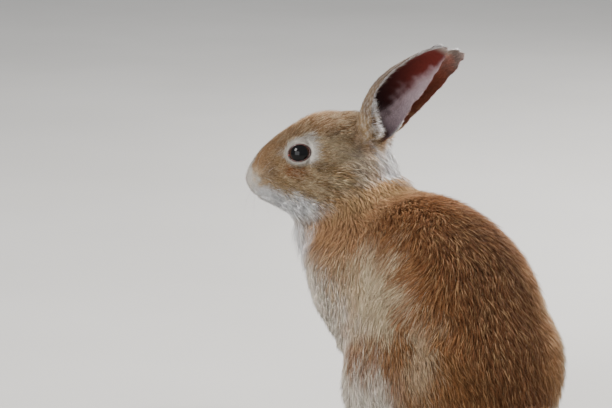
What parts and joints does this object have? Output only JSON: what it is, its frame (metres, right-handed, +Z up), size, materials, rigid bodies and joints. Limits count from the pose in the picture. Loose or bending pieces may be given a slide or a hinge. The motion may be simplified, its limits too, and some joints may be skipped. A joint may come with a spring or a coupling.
{
  "type": "rabbit",
  "caption": "Still life-size rabbit sitting on its feet with its head turned to its left and its ears laid back.",
  "frame": {"origin": "on the floor, at the middle of the animal's box", "axes": "+Z up, the trunk faces -Y, and the animal's left side is at +X"},
  "size_m": [0.121, 0.23, 0.2417],
  "materials": {
    "coat": "soft reddish brown agouti fur with a white chin, breast and nape",
    "ear": "thin skin with very short fur, reddish brown inside and grey towards the tip",
    "eye": "wet dark brown, nearly black",
    "claw": "dull dark horn"
  },
  "bodies": {
    "root": {"trunk": "coat", "neck": "coat", "head": "coat", "ear_left": "ear", "ear_right": "ear", "tail": "coat", "haunch_left": "coat", "haunch_right": "coat", "foreleg_left": "coat", "foreleg_right": "coat", "hindfoot_left": "coat", "hindfoot_right": "coat", "forepaw_left": "coat", "forepaw_right": "coat", "eye_left": "eye", "eye_right": "eye", "claw_hind_left_1": "claw", "claw_hind_left_2": "claw", "claw_hind_left_3": "claw", "claw_hind_left_4": "claw", "claw_hind_right_1": "claw", "claw_hind_right_2": "claw", "claw_hind_right_3": "claw", "claw_hind_right_4": "claw", "claw_fore_left_1": "claw", "claw_fore_left_2": "claw", "claw_fore_left_3": "claw", "claw_fore_left_4": "claw", "claw_fore_right_1": "claw", "claw_fore_right_2": "claw", "claw_fore_right_3": "claw", "claw_fore_right_4": "claw"}
  },
  "joints": []
}
